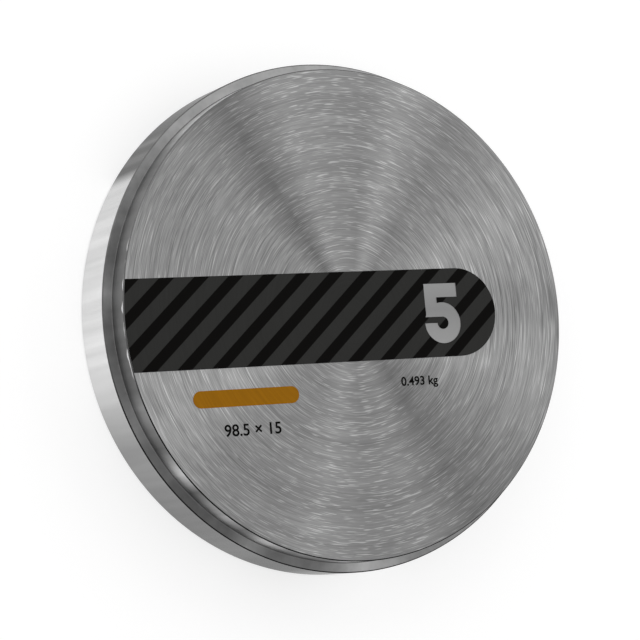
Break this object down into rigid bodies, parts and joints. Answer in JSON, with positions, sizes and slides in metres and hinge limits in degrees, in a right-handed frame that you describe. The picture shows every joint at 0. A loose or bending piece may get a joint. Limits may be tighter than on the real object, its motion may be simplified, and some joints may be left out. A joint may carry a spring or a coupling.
{
  "type": "dental milling disc",
  "caption": "Round titanium blank for a dental mill, with a collar for the holder, a shoulder, and a raised boss whose face carries a striped printed band.",
  "frame": {"origin": "centre of the flat back face, on the disc's axis", "axes": "+Z along the disc's axis, out of the printed face; +X along the printed band towards its round end; +Y up across the band"},
  "size_m": [0.0984, 0.0984, 0.0151],
  "materials": {
    "turned_titanium": "turned face with fine circular scratches, smooth turned rim",
    "grey_ink": "matt dark grey print",
    "black_ink": "matt near-black print",
    "amber_ink": "matt amber print"
  },
  "bodies": {
    "root": {"disc_blank": "turned_titanium", "printed_band": "grey_ink", "printed_stripes": "black_ink", "printed_bar": "amber_ink"}
  },
  "joints": []
}
